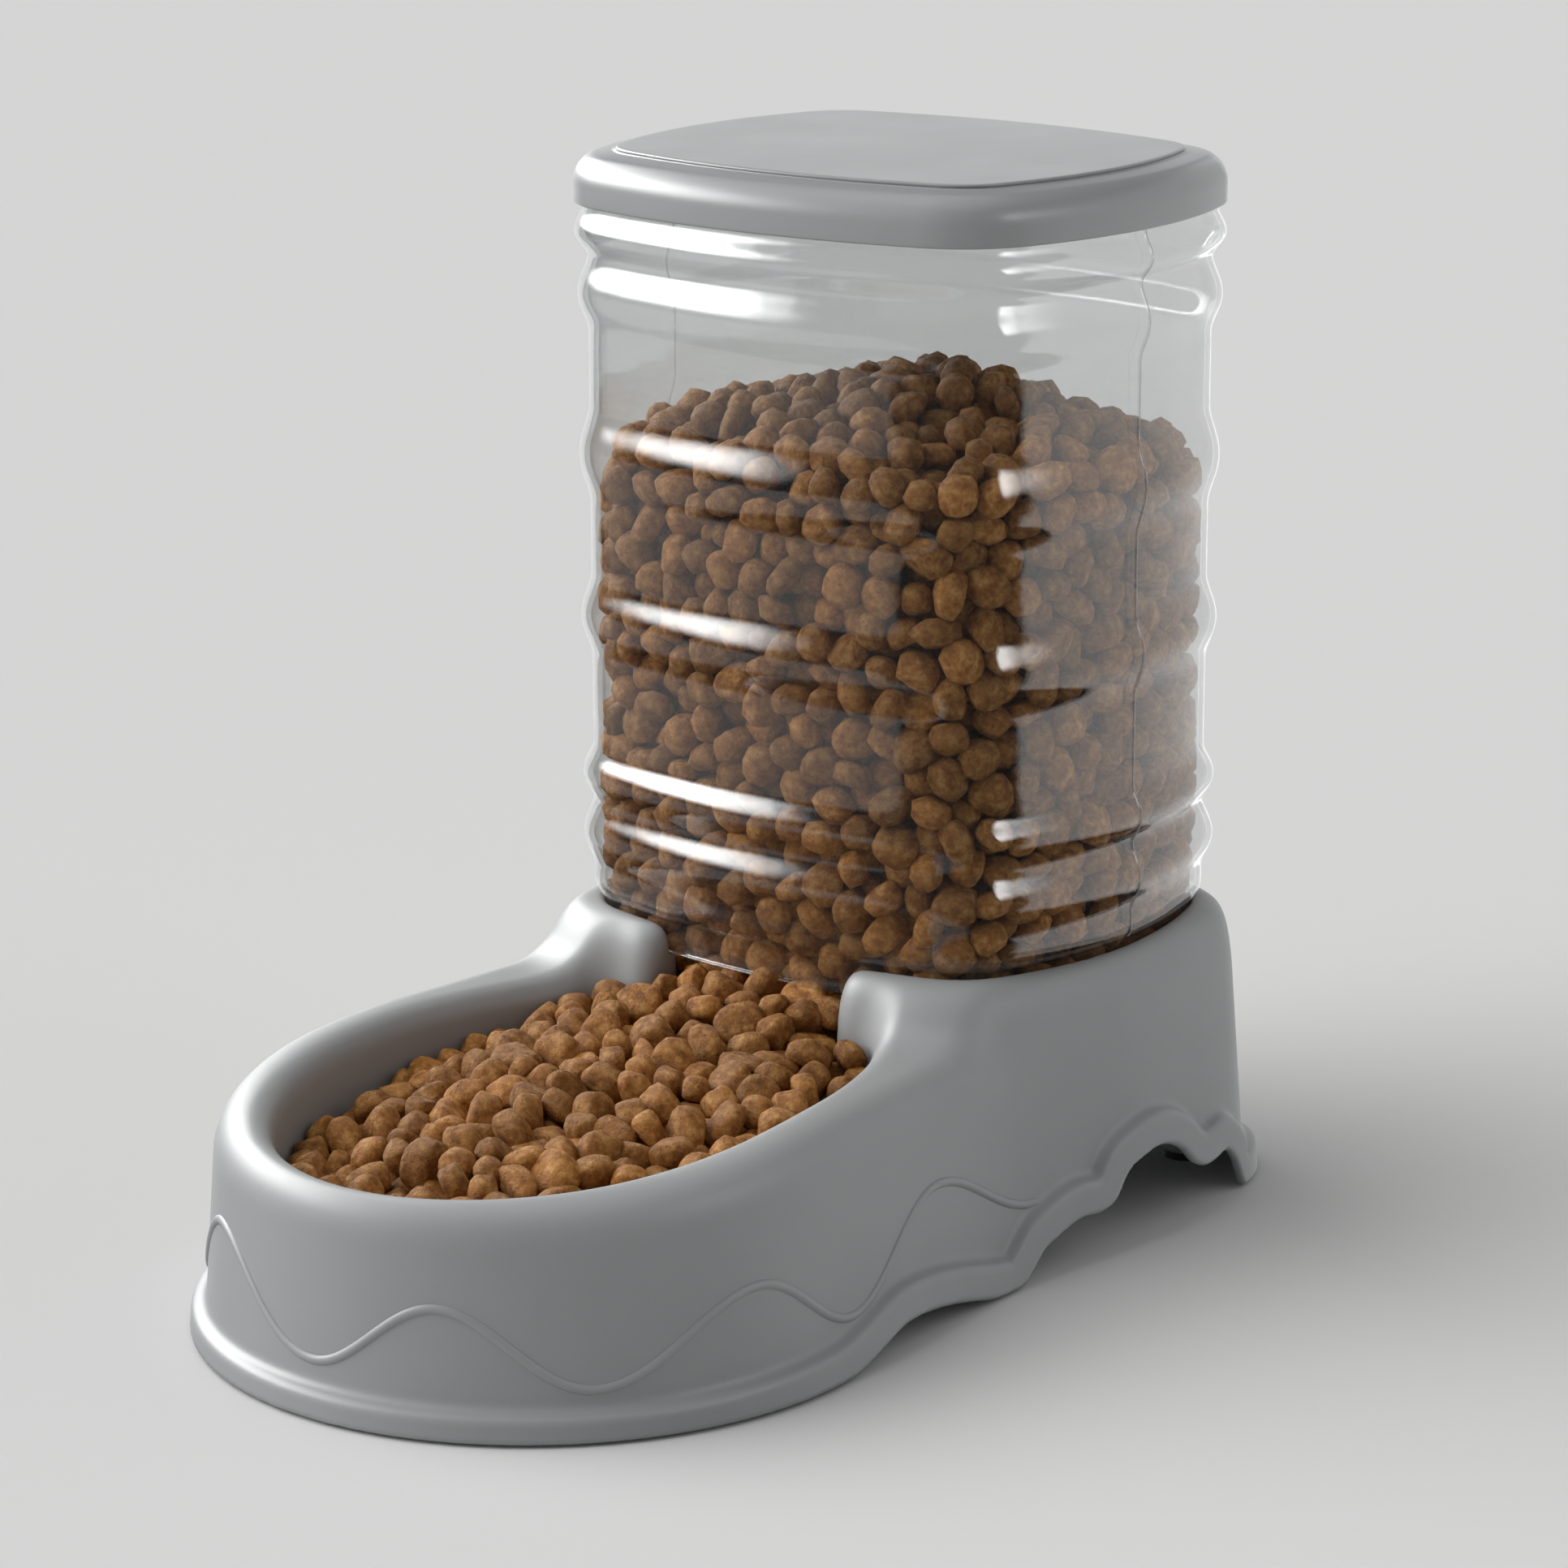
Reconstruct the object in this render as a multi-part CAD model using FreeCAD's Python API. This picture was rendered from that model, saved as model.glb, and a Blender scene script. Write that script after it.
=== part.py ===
import FreeCAD, Part

import math
import os

V = FreeCAD.Vector

# Gravity pet feeder: a clear hopper stands in the cradle of a one-piece base with a bowl in front.
# Millimetres. +Z is up, the bowl points to -Y, and the origin is on the floor under the middle.

# ---- Driving dimensions -------------------------------------------------------------------------
HEIGHT = 290.0            # floor to the lid's raised top
HOPPER_Y = 81.5           # centre of the hopper in plan
BOWL_Y = HOPPER_Y - 149.0  # centre of the bowl in plan

# Rounded-square plans: four bowed sides and four corners, all circular arcs. The hopper, the lid
# and the base share the corner arcs' centres. A plan is half X, half Y and corner radius.
CORNER_X = 47.0
CORNER_Y = 35.3
PANELS = (79.1, 67.35, 26.0)   # the hopper's flat panels
SKIRT = (90.0, 79.0, 39.6)     # the base round the hopper, at the floor

# Hopper
HOPPER_WALL = 1.5
HEEL_OFFSET = -3.0        # the heel that plugs into the cradle is stepped in
HEEL_Z = 71.5
HEEL_TOP_Z = 80.7
HEEL_FLARE = 5.0          # height over which the wall widens from the heel to the panels
RIB_HEIGHT = 2.9
RIBS = ((89.8, 108.4), (108.4, 124.0), (149.2, 172.2), (192.6, 219.3), (240.1, 260.6))
TOP_RIB = (260.6, 267.0, 274.0)
TOP_RIB_HEIGHT = 3.6
NECK_OFFSET = 1.1
NECK_TOP_Z = 284.6

# Lid
LID_OFFSET = 3.6
LID_WALL = 2.0
LID_EDGE_Z = 275.0
LID_ROLL_Z = 281.0
LID_STEP_Z = 288.6
LID_TOP_OFFSET = -8.6     # edge of the raised flat top
LID_TOP_THICKNESS = 2.8
LID_PLUG_OFFSET = -0.8    # rib inside the lid that centres it in the neck
LID_PLUG_Z = 278.0

# Base
BASE_WALL = 3.0
SKIRT_Z = 0.4             # lowest edge of the skirt, just clear of the floor
BOWL_HALF = (89.6, 92.0)  # outside of the bowl at the floor, X and Y, without the foot band
WAIST = (84.6, 20.0)      # side wall between bowl and cradle: half width and Y
CRADLE_TOP_Z = 80.4
# How far in the outside is at each height: drafted walls, then the cradle's soft upper edge.
DRAFT = ((SKIRT_Z, 0.0), (76.0, 5.7), (78.4, 6.7), (CRADLE_TOP_Z, 8.8))
# Top of the bowl's rim along Y: low in front, rising towards the cradle.
RIM = ((-200.0, 57.5), (-130.0, 58.2), (-85.0, 61.5), (-50.0, 64.5), (200.0, 64.5))
RIM_TOP_Z = 64.5
BAND = 4.0                # how far the foot band stands out
BAND_HEIGHT = 11.0

# Inside of the bowl at RIM_TOP_Z, two half ellipses: half X, half Y in front, half Y behind.
BOWL_CAVITY = (66.5, 78.0, 110.0)
BOWL_CAVITY_DRAFT = 5.0
BOWL_FLOOR_Z = 10.0
POCKET_CLEARANCE = 0.4    # between the hopper's heel and the cradle's pocket
CHUTE_OFFSET = -6.5       # the ledge under the heel ends here
CHUTE_REAR_Z = 66.0       # the sloping floor's height at the rear wall
OUTLET_HALF_X = 31.0
LIP_Z = 66.5              # the cradle's lip is solid above this height

# Foot pads
PAD_R = 7.0
PAD_HEIGHT = 2.5
POST_R = 8.5
PAD_PLACES = {
    "foot_pad_front_left": (-45.0, -105.0),
    "foot_pad_front_right": (45.0, -105.0),
    "foot_pad_rear_left": (-60.0, 140.0),
    "foot_pad_rear_right": (60.0, 140.0),
}

# Lower edge of the skirt on each side, as Y and Z: low arch, middle foot, tall arch, rear foot.
# Z is from SKIRT_Z.
SIDE_EDGE = ((-64.0, 0.0), (-48.0, 3.6), (-34.0, 7.5), (-19.5, 7.0), (-2.0, 3.6), (10.0, 0.8),
             (19.5, 0.0), (26.0, 4.0), (30.7, 8.0), (46.8, 13.2), (54.8, 13.0), (60.3, 15.3),
             (64.8, 20.7), (72.6, 24.2), (81.9, 25.0), (89.9, 21.5), (96.7, 15.5), (101.3, 13.5),
             (115.5, 13.7), (120.9, 8.5), (125.2, 0.0))
# Lower edge of the skirt at the rear, as X and Z, from the middle to the rear foot.
REAR_EDGE = ((0.0, 15.0), (22.0, 12.0), (42.0, 8.0), (56.0, 0.0))
REAR_BAND_Y = HOPPER_Y + PANELS[1] - 4.0


# ---- Outlines -----------------------------------------------------------------------------------
def side_centre(reach, corner_along, corner_across):
    """How far behind the middle the centre of a bowed side's arc lies."""
    squares = corner_along ** 2 + corner_across ** 2 - reach ** 2
    return squares / (2.0 * (reach - corner_along))


def outline_arcs(plan=PANELS):
    """The plan's eight arcs, anticlockwise: centre X, centre Y, radius, first and last angle."""
    half_x, half_y, corner_r = plan
    back_x = side_centre(half_x - corner_r, CORNER_X, CORNER_Y)
    back_y = side_centre(half_y - corner_r, CORNER_Y, CORNER_X)
    low = math.atan2(CORNER_Y, CORNER_X + back_x)
    high = math.atan2(CORNER_Y + back_y, CORNER_X)
    arcs = []
    for quarter in range(4):
        turn = quarter * math.pi / 2.0
        along_x = quarter % 2 == 0
        near = low if along_x else math.pi / 2.0 - high
        far = high if along_x else math.pi / 2.0 - low
        back = back_x if along_x else back_y
        half = half_x if along_x else half_y
        corner = (CORNER_X, CORNER_Y) if along_x else (CORNER_Y, CORNER_X)
        centres = ((-back, 0.0), corner)
        spans = ((-near, near), (near, far))
        for centre, radius, span in zip(centres, (half + back, corner_r), spans):
            x = centre[0] * math.cos(turn) - centre[1] * math.sin(turn)
            y = centre[0] * math.sin(turn) + centre[1] * math.cos(turn)
            arcs.append((x, y + HOPPER_Y, radius, span[0] + turn, span[1] + turn))
    return arcs


def on_arc(arc, offset, angle, z):
    x, y, radius = arc[:3]
    return V(x + (radius + offset) * math.cos(angle), y + (radius + offset) * math.sin(angle), z)


def arc_edge(arc, offset, z, first=None, last=None):
    first = arc[3] if first is None else first
    last = arc[4] if last is None else last
    angles = (first, (first + last) / 2.0, last)
    return Part.Arc(*[on_arc(arc, offset, angle, z) for angle in angles]).toShape()


def outline_wire(offset, z, plan=PANELS):
    return Part.Wire([arc_edge(arc, offset, z) for arc in outline_arcs(plan)])


def block(offset, low, high):
    """A solid with the hopper's plan, moved out by offset."""
    return Part.Face(outline_wire(offset, low)).extrude(V(0, 0, high - low))


def ring(steps):
    """Sweep a closed section round the outline. A step is (offset, z), or (middle, end) of an arc."""
    pieces = []
    for arc in outline_arcs():
        def place(point):
            return on_arc(arc, point[0], arc[3], point[1])
        edges = []
        start = steps[0]
        for step in steps[1:]:
            if isinstance(step[0], tuple):
                middle, end = step
                edges.append(Part.Arc(place(start), place(middle), place(end)).toShape())
            else:
                end = step
                edges.append(Part.makeLine(place(start), place(end)))
            start = end
        edges.append(Part.makeLine(place(start), place(steps[0])))
        face = Part.Face(Part.Wire(edges))
        turn = math.degrees(arc[4] - arc[3])
        pieces.append(face.revolve(V(arc[0], arc[1], 0), V(0, 0, 1), turn))
    return joined(pieces)


def joined(solids):
    """The union of solids, as one solid where they touch."""
    shape = solids[0].multiFuse(solids[1:])
    return shape.Solids[0] if len(shape.Solids) == 1 else shape


def extruded(points, axis_start, axis_length, along_x=True):
    """A prism of the closed outline points, given as (Y, Z) and run along X, or (X, Z) along Y."""
    if along_x:
        corners = [V(axis_start, p[0], p[1]) for p in points]
        run = V(axis_length, 0, 0)
    else:
        corners = [V(p[0], axis_start, p[1]) for p in points]
        run = V(0, axis_length, 0)
    wire = Part.makePolygon(corners + corners[:1])
    return Part.Face(wire).extrude(run)


# ---- Hopper and lid -----------------------------------------------------------------------------
def end_of(step):
    return step[1] if isinstance(step[0], tuple) else step


def line_to(steps, point):
    if end_of(steps[-1]) != point:
        steps.append(point)


def hopper_steps():
    """The hopper wall's section: up the outside, then down the inside."""
    bulges = [(low, (low + high) / 2.0, high, RIB_HEIGHT, 0.0) for low, high in RIBS]
    bulges.append(TOP_RIB + (TOP_RIB_HEIGHT, NECK_OFFSET))
    steps = [(HEEL_OFFSET, HEEL_Z), (HEEL_OFFSET, HEEL_TOP_Z), (0.0, HEEL_TOP_Z + HEEL_FLARE)]
    for low, middle, high, height, end in bulges:
        line_to(steps, (0.0, low))
        steps.append(((height, middle), (end, high)))
    steps.append((NECK_OFFSET, NECK_TOP_Z))
    steps.append((NECK_OFFSET - HOPPER_WALL, NECK_TOP_Z))
    for low, middle, high, height, end in reversed(bulges):
        line_to(steps, (end - HOPPER_WALL, high))
        steps.append(((height - HOPPER_WALL, middle), (-HOPPER_WALL, low)))
    steps.append((-HOPPER_WALL, HEEL_TOP_Z + HEEL_FLARE + 0.8))
    steps.append((HEEL_OFFSET - HOPPER_WALL, HEEL_TOP_Z + 0.8))
    steps.append((HEEL_OFFSET - HOPPER_WALL, HEEL_Z))
    return steps


def make_hopper():
    return ring(hopper_steps())


def make_lid():
    inner = LID_OFFSET - LID_WALL
    shell = ring([
        (LID_OFFSET, LID_EDGE_Z), (LID_OFFSET, LID_ROLL_Z), ((1.7, 285.8), (-6.0, 288.3)),
        (LID_TOP_OFFSET, LID_STEP_Z), (LID_TOP_OFFSET, LID_STEP_Z - LID_WALL),
        (-2.0, 285.6), (-1.0, NECK_TOP_Z), (inner, NECK_TOP_Z), (inner, LID_EDGE_Z)])
    top = block(LID_TOP_OFFSET, HEIGHT - LID_TOP_THICKNESS, HEIGHT)
    plug = ring([
        (LID_PLUG_OFFSET, LID_PLUG_Z), (LID_PLUG_OFFSET, LID_STEP_Z - LID_WALL),
        (LID_PLUG_OFFSET - HOPPER_WALL, LID_STEP_Z - LID_WALL),
        (LID_PLUG_OFFSET - HOPPER_WALL, LID_PLUG_Z)])
    return joined([shell, top, plug])


# ---- Base ---------------------------------------------------------------------------------------
def inset_at(z):
    """How far in from its place at the floor the base's outside is at height z."""
    for (low, near), (high, far) in zip(DRAFT, DRAFT[1:]):
        if z <= high:
            return near + (far - near) * (z - low) / (high - low)
    return DRAFT[-1][1]


def base_outline(inset, z):
    """The base's outside in plan at height z: half ellipse, waisted sides and the cradle's rear."""
    inset = inset + inset_at(z)
    half_x = BOWL_HALF[0] - inset
    half_y = BOWL_HALF[1] - inset
    waist = WAIST[0] - inset
    arcs = outline_arcs(SKIRT)
    ellipse = Part.Ellipse(V(0, BOWL_Y - half_y, z), V(half_x, BOWL_Y, z), V(0, BOWL_Y, z))
    front = Part.ArcOfEllipse(ellipse, -math.pi / 2.0, math.pi / 2.0).toShape()
    rear = [arc_edge(arcs[0], -inset, z, 0.0)]
    rear += [arc_edge(arc, -inset, z) for arc in arcs[1:4]]
    rear.append(arc_edge(arcs[4], -inset, z, None, math.pi))
    start = on_arc(arcs[0], -inset, 0.0, z)
    sides = []
    for sign in (1.0, -1.0):
        points = (V(sign * half_x, BOWL_Y, z), V(sign * waist, WAIST[1], z), V(sign * start.x, start.y, z))
        curve = Part.BSplineCurve()
        curve.interpolate(Points=points, InitialTangent=V(0, 1, 0), FinalTangent=V(0, 1, 0))
        sides.append(curve.toShape())
    edges = Part.__sortEdges__([front] + sides + rear)
    return Part.Wire(edges)


def drafted(outline, inset, low, high):
    """A solid between two heights whose plan is outline(inset, z)."""
    heights = [low] + [z for z, _ in DRAFT if low < z < high] + [high]
    return Part.makeLoft([outline(inset, z) for z in heights], True, True)


def cradle_outline(inset, z):
    return outline_wire(-inset - inset_at(z), z, SKIRT)


def under_rim(drop):
    """Everything under the bowl's rim, lowered by drop, as a prism along X."""
    points = [(y, z - drop) for y, z in RIM]
    return extruded(points + [(200, -20), (-200, -20)], -200, 400)


def base_body(inset, low, drop=0.0, top=CRADLE_TOP_Z):
    """The base's outside, moved in by inset: the waisted body up to the rim, and the cradle's block."""
    body = drafted(base_outline, inset, low, RIM_TOP_Z + 1.0).common(under_rim(drop))
    return joined([body, drafted(cradle_outline, inset, low, top)])


def bowl_outline(grow, z):
    shrink = BOWL_CAVITY_DRAFT * (RIM_TOP_Z - z) / RIM_TOP_Z
    half_x, front_y, rear_y = [size - shrink + grow for size in BOWL_CAVITY]
    edges = []
    for end_y in (BOWL_Y - front_y, BOWL_Y + rear_y):
        ellipse = Part.Ellipse(V(0, end_y, z), V(half_x, BOWL_Y, z), V(0, BOWL_Y, z))
        edges.append(Part.ArcOfEllipse(ellipse, -math.pi / 2.0, math.pi / 2.0).toShape())
    return Part.Wire(Part.__sortEdges__(edges))


def bowl_cavity(grow, low, high):
    """The inside of the bowl, back to the cradle's rounded front."""
    space = Part.makeLoft([bowl_outline(grow, low), bowl_outline(grow, high)], True, True)
    return space.cut(drafted(cradle_outline, grow, low - 1.0, high + 1.0))


def chute_cavity(grow, low):
    """The space under the hopper, down to the floor that slopes from the rear wall to the bowl."""
    inside = block(CHUTE_OFFSET + grow, low, HEEL_Z + 1.0)
    front = HOPPER_Y - PANELS[1] - CHUTE_OFFSET - 2.0
    rear = HOPPER_Y + PANELS[1] + CHUTE_OFFSET
    slope = [(front, low), (rear, CHUTE_REAR_Z - grow), (200, CHUTE_REAR_Z - grow), (200, -20),
             (front, -20)]
    return inside.cut(extruded(slope, -200, 400))


def outlet_cavity(grow, low, high):
    rear = HOPPER_Y - PANELS[1] - CHUTE_OFFSET + 4.0
    length = rear - BOWL_Y
    return Part.makeBox(2 * (OUTLET_HALF_X + grow), length, high - low,
                        V(-OUTLET_HALF_X - grow, BOWL_Y, low))


def food_space(grow):
    low = BOWL_FLOOR_Z - grow
    above = CRADLE_TOP_Z + 10.0
    return joined([bowl_cavity(grow, low, above), chute_cavity(grow, low),
                   outlet_cavity(grow, low, above)])


def smooth_edge(points, shift=0.0):
    """A smooth curve through points, which are places in a plane given as a list of vectors."""
    curve = Part.BSplineCurve()
    curve.interpolate(Points=[p + V(0, 0, shift) for p in points])
    return curve.toShape()


def edge_strip(points, low_shift, high_shift, run):
    """The region between an edge curve moved to low_shift and to high_shift, extruded by run."""
    lower = smooth_edge(points, low_shift)
    upper = smooth_edge(points, high_shift)
    first = Part.makeLine(points[0] + V(0, 0, low_shift), points[0] + V(0, 0, high_shift))
    last = Part.makeLine(points[-1] + V(0, 0, low_shift), points[-1] + V(0, 0, high_shift))
    return Part.Face(Part.Wire(Part.__sortEdges__([lower, last, upper, first]))).extrude(run)


def side_points():
    return [V(-200, y, z + SKIRT_Z) for y, z in SIDE_EDGE]


def rear_points():
    mirrored = [(-x, z) for x, z in reversed(REAR_EDGE[1:])]
    return [V(x, REAR_BAND_Y, z + SKIRT_Z) for x, z in mirrored + list(REAR_EDGE)]


def foot_band():
    """The band that follows the skirt's lower edge and stands out from the wall."""
    high = RIM_TOP_Z
    wide = drafted(base_outline, -BAND, SKIRT_Z, high)
    front = Part.makeBox(400, 140, BAND_HEIGHT, V(-200, SIDE_EDGE[0][0] - 140, SKIRT_Z))
    sides = edge_strip(side_points(), 0.0, BAND_HEIGHT, V(400, 0, 0))
    rear = edge_strip(rear_points(), 0.0, BAND_HEIGHT, V(0, 60, 0))
    corner_y = SIDE_EDGE[-1][0]
    corners = Part.makeBox(400, 60, BAND_HEIGHT, V(-200, corner_y, SKIRT_Z))
    corners = corners.cut(Part.makeBox(2 * REAR_EDGE[-1][0], 80, 60, V(-REAR_EDGE[-1][0], corner_y - 10, 0)))
    region = joined([front, sides, corners, rear])
    return wide.common(region)


def skirt_cuts():
    """What is cut away under the skirt's lower edge."""
    side = edge_strip(side_points(), 0.0, -60.0, V(400, 0, 0))
    middle = Part.makeBox(2 * 70.0, 400, 200, V(-70, -200, -100))
    rear = edge_strip(rear_points(), 0.0, -60.0, V(0, 60, 0))
    return [side.cut(middle), rear]


def make_base():
    outside = joined([base_body(0.0, SKIRT_Z), foot_band()])
    hollow = base_body(BASE_WALL, -5.0, BASE_WALL, LIP_Z)
    hollow = hollow.cut(food_space(BASE_WALL))
    pocket = block(HEEL_OFFSET + POCKET_CLEARANCE, HEEL_Z, CRADLE_TOP_Z + 10.0)
    shape = outside.cut(hollow).cut(food_space(0.0)).cut(pocket)
    for cut in skirt_cuts():
        shape = shape.cut(cut)
    posts = []
    for x, y in PAD_PLACES.values():
        post = Part.makeCylinder(POST_R, CHUTE_REAR_Z, V(x, y, PAD_HEIGHT))
        posts.append(post.common(hollow))
    return joined([shape] + posts)


def make_pad(place):
    return Part.makeCylinder(PAD_R, PAD_HEIGHT, V(place[0], place[1], 0))


# ---- Export -------------------------------------------------------------------------------------
def main():
    shapes = {"base": make_base(), "hopper": make_hopper(), "lid": make_lid()}
    for name, place in PAD_PLACES.items():
        shapes[name] = make_pad(place)
    os.makedirs("parts", exist_ok=True)
    for name, shape in shapes.items():
        shape.exportStep("parts/" + name + ".step")
        box = shape.BoundBox
        size = (round(box.XLength, 1), round(box.YLength, 1), round(box.ZLength, 1))
        print(name, size, "volume", round(shape.Volume), "solids", len(shape.Solids), shape.isValid())


main()
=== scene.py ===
import math

import bmesh
import bpy
import numpy as np
import openvdb
from mathutils import Matrix, Vector


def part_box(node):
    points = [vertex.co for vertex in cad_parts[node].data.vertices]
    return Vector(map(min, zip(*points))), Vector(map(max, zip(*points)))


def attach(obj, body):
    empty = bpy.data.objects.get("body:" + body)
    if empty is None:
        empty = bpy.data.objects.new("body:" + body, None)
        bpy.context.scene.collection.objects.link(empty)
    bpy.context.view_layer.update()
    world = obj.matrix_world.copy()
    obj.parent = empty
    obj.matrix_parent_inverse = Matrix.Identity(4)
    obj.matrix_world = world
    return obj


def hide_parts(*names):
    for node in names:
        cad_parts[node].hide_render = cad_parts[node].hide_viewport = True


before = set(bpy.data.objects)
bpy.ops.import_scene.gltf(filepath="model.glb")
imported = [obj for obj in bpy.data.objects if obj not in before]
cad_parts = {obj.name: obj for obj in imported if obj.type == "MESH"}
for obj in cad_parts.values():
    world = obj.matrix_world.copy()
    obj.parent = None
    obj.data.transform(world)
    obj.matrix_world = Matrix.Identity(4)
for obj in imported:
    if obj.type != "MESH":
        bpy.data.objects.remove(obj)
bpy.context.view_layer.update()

# Lengths are in millimetres until a mesh is written, and then in metres.
MM = 0.001

# ---- Where things are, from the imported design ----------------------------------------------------
BASE_LOW, BASE_HIGH = (np.array(corner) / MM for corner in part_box("base"))
HOPPER_LOW, HOPPER_HIGH = (np.array(corner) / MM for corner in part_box("hopper"))
LID_LOW, LID_HIGH = (np.array(corner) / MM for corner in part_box("lid"))
HOPPER_Y = (LID_LOW[1] + LID_HIGH[1]) / 2.0
BOWL_Y = HOPPER_Y - 149.0
PAD_PLACES = [tuple((np.array(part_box(name)[0]) + np.array(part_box(name)[1]))[:2] / 2.0 / MM)
              for name in sorted(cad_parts) if name.startswith("foot_pad")]
PAD_TOP_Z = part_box("foot_pad_front_left")[1][2] / MM

# ---- Plan shapes ---------------------------------------------------------------------------------
# A rounded-square plan is half X, half Y and corner radius. All share the corner arcs' centres.
CORNER = (47.0, 35.3)
PANELS = (79.1, 67.35, 26.0)
SKIRT = (90.0, 79.0, 39.6)

# ---- Base ----------------------------------------------------------------------------------------
WALL = 3.0
DRAFT_SLOPE = 0.0747        # how far a wall leans in for each millimetre up
CRADLE_TOP_Z = HOPPER_LOW[2] + 8.5
CRADLE_SETBACK = 4.0        # the cradle is the skirt's plan moved back and widened by this
BOWL_HALF = (89.6, 92.0)    # half ellipse at the floor
WAIST_HALF, WAIST_Y = 84.6, 20.0
RIM_FRONT_Z, RIM_REAR_Z = 58.6, 65.2
RIM_FRONT_Y, RIM_REAR_Y = -150.0, -40.0
CAVITY_FRONT = (66.5, 78.0)
CAVITY_REAR = (66.5, 110.0)
CAVITY_DRAFT = 0.078
FLOOR_Z = 10.0
OUTLET_HALF_X = 31.0
OUTLET_DEPTH = 50.0         # the outlet ends this far in front of the hopper's middle
CHUTE_SLOPE = 0.4527
CHUTE_OFFSET = -6.5
CHUTE_START_Y = HOPPER_Y - PANELS[1] - CHUTE_OFFSET - 2.0
POCKET_OFFSET = -2.6
POCKET_Z = HOPPER_LOW[2]    # the ledge that the hopper stands on
LIP_Z = 66.5                # top of the hollow under the bowl's rim and the ledge
POST_RADIUS = 8.5           # posts over the foot pads
BAND = 3.9                  # how far the foot band stands out of the wall
BAND_HEIGHT = 10.5
REAR_Y = 128.0              # the arch in the back wall is cut behind this
SKIRT_REACH = 16.0          # how deep the wavy lower edge is cut into the plan
# How wide the soft run from one face of the base into the next is.
SOFT_RIM_TO_CRADLE = 20.0
SOFT_CRADLE_TOP = 8.0
SOFT_OUTER_EDGE = 11.0
SOFT_INNER_EDGE = 7.0
SOFT_BAND = 1.6
SOFT_BAND_ROOT = 1.8
SOFT_BOWL_TO_CRADLE = 8.0
SOFT_OUTLET = 9.0
SOFT_CHUTE = 3.0
SOFT_FLOOR = 12.0
SIDE_EDGE = ((-300, 0), (-70, 0), (-60, 0.6), (-48, 3.6), (-34, 7.5), (-19.5, 7), (-2, 3.6), (10, 0.8),
             (19.5, 0), (26, 4), (30.7, 8), (36, 10.2), (46.8, 13.2), (54.8, 13), (60.3, 15.3),
             (64.8, 20.7), (72.6, 24.2), (81.9, 25), (89.9, 21.5), (96.7, 15.5), (101.3, 13.5),
             (107.8, 13.4), (115.5, 13.7), (120.9, 8.5), (125.2, 0), (135, 0), (300, 0))
REAR_EDGE = ((0, 15), (22, 12), (42, 8), (52, 2), (56, 0), (80, 0), (200, 0))
# Raised wave on the bowl's wall: distance round from the middle of the front, and height.
WAVE_RIGHT = ((0.0, 14.5), (36.0, 33.0), (76.0, 13.0), (122.0, 32.5), (157.0, 15.0), (199.0, 37.4),
              (243.0, 20.5))
WAVE_LEFT = ((0.0, 14.5), (47.0, 37.0), (86.0, 13.0), (126.0, 32.5), (160.0, 15.0), (199.0, 37.4),
             (243.0, 20.5))
WAVE_RADIUS = 1.45
WAVE_PROUD = 0.8            # how far the wave stands out of the wall

# ---- Hopper and lid ------------------------------------------------------------------------------
HOPPER_WALL = 1.5
HEEL_OFFSET = -3.0
HEEL_TOP_Z = 80.7
HEEL_FLARE = 5.0            # height over which the wall widens from the heel to its panels
RIB = 2.9                   # how far the ribs stand out
RIBS = ((89.8, 108.4), (108.4, 124.0), (149.2, 172.2), (192.6, 219.3), (240.1, 260.6))
TOP_RIB = (260.6, 267.3, 274.0)         # its foot, its crest, and the neck above it
TOP_RIB_OFFSET = 3.6
NECK_OFFSET = 1.1
SEAM_Y = 0.0                # from the hopper's middle
SEAM_HEIGHT = 0.6
SEAM_STEPS = (-1.6, -0.8, -0.35, 0.0, 0.35, 0.8, 1.6)
SIDE_X = 60.0               # points further out than this are on the hopper's X sides
LID_OFFSET = 3.6
LID_PANEL_OFFSET = -8.6     # edge of the lid's raised flat top
LID_WALL = 2.4

# ---- Food ----------------------------------------------------------------------------------------
HEAP_PEAK_Z = 232.0
FOOD_SHELL = (27.0, 24.0)   # pellets fill the hopper this deep from its wall and from the heap's top
FOOD_LOW_Z = 60.0           # lowest food that goes up with the hopper
BOWL_FOOD_DEPTH = 26.0
BOWL_FOOD_REAR_Y = 32.0
PELLET_SIZE = 2.02          # size of a pellet's shape for each millimetre of its settling radius
SETTLE_ROUNDS = 26

# ---- Camera --------------------------------------------------------------------------------------
CAMERA_PLACE = (827.4, -1094.3 + HOPPER_Y, 476.0)
CAMERA_TURN = (38.42, 14.87, -0.15)     # azimuth, elevation and roll in degrees
CAMERA_LENS = 116.91


def colour(code):
    """An sRGB hex colour as linear RGBA."""
    parts = [int(code[i:i + 2], 16) / 255.0 for i in (0, 2, 4)]
    linear = [c / 12.92 if c <= 0.04045 else ((c + 0.055) / 1.055) ** 2.4 for c in parts]
    return (*linear, 1.0)


# ---- Shape helpers -------------------------------------------------------------------------------
def smooth_min(a, b, k):
    """The smaller of a and b, with a soft run of width k where they meet."""
    h = np.clip(0.5 + 0.5 * (b - a) / k, 0.0, 1.0)
    return b + (a - b) * h - k * h * (1.0 - h)


def smooth_max(a, b, k):
    return -smooth_min(-a, -b, k)


def smooth_step(low, high, t):
    s = np.clip((t - low) / (high - low), 0.0, 1.0)
    return s * s * (3.0 - 2.0 * s)


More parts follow.
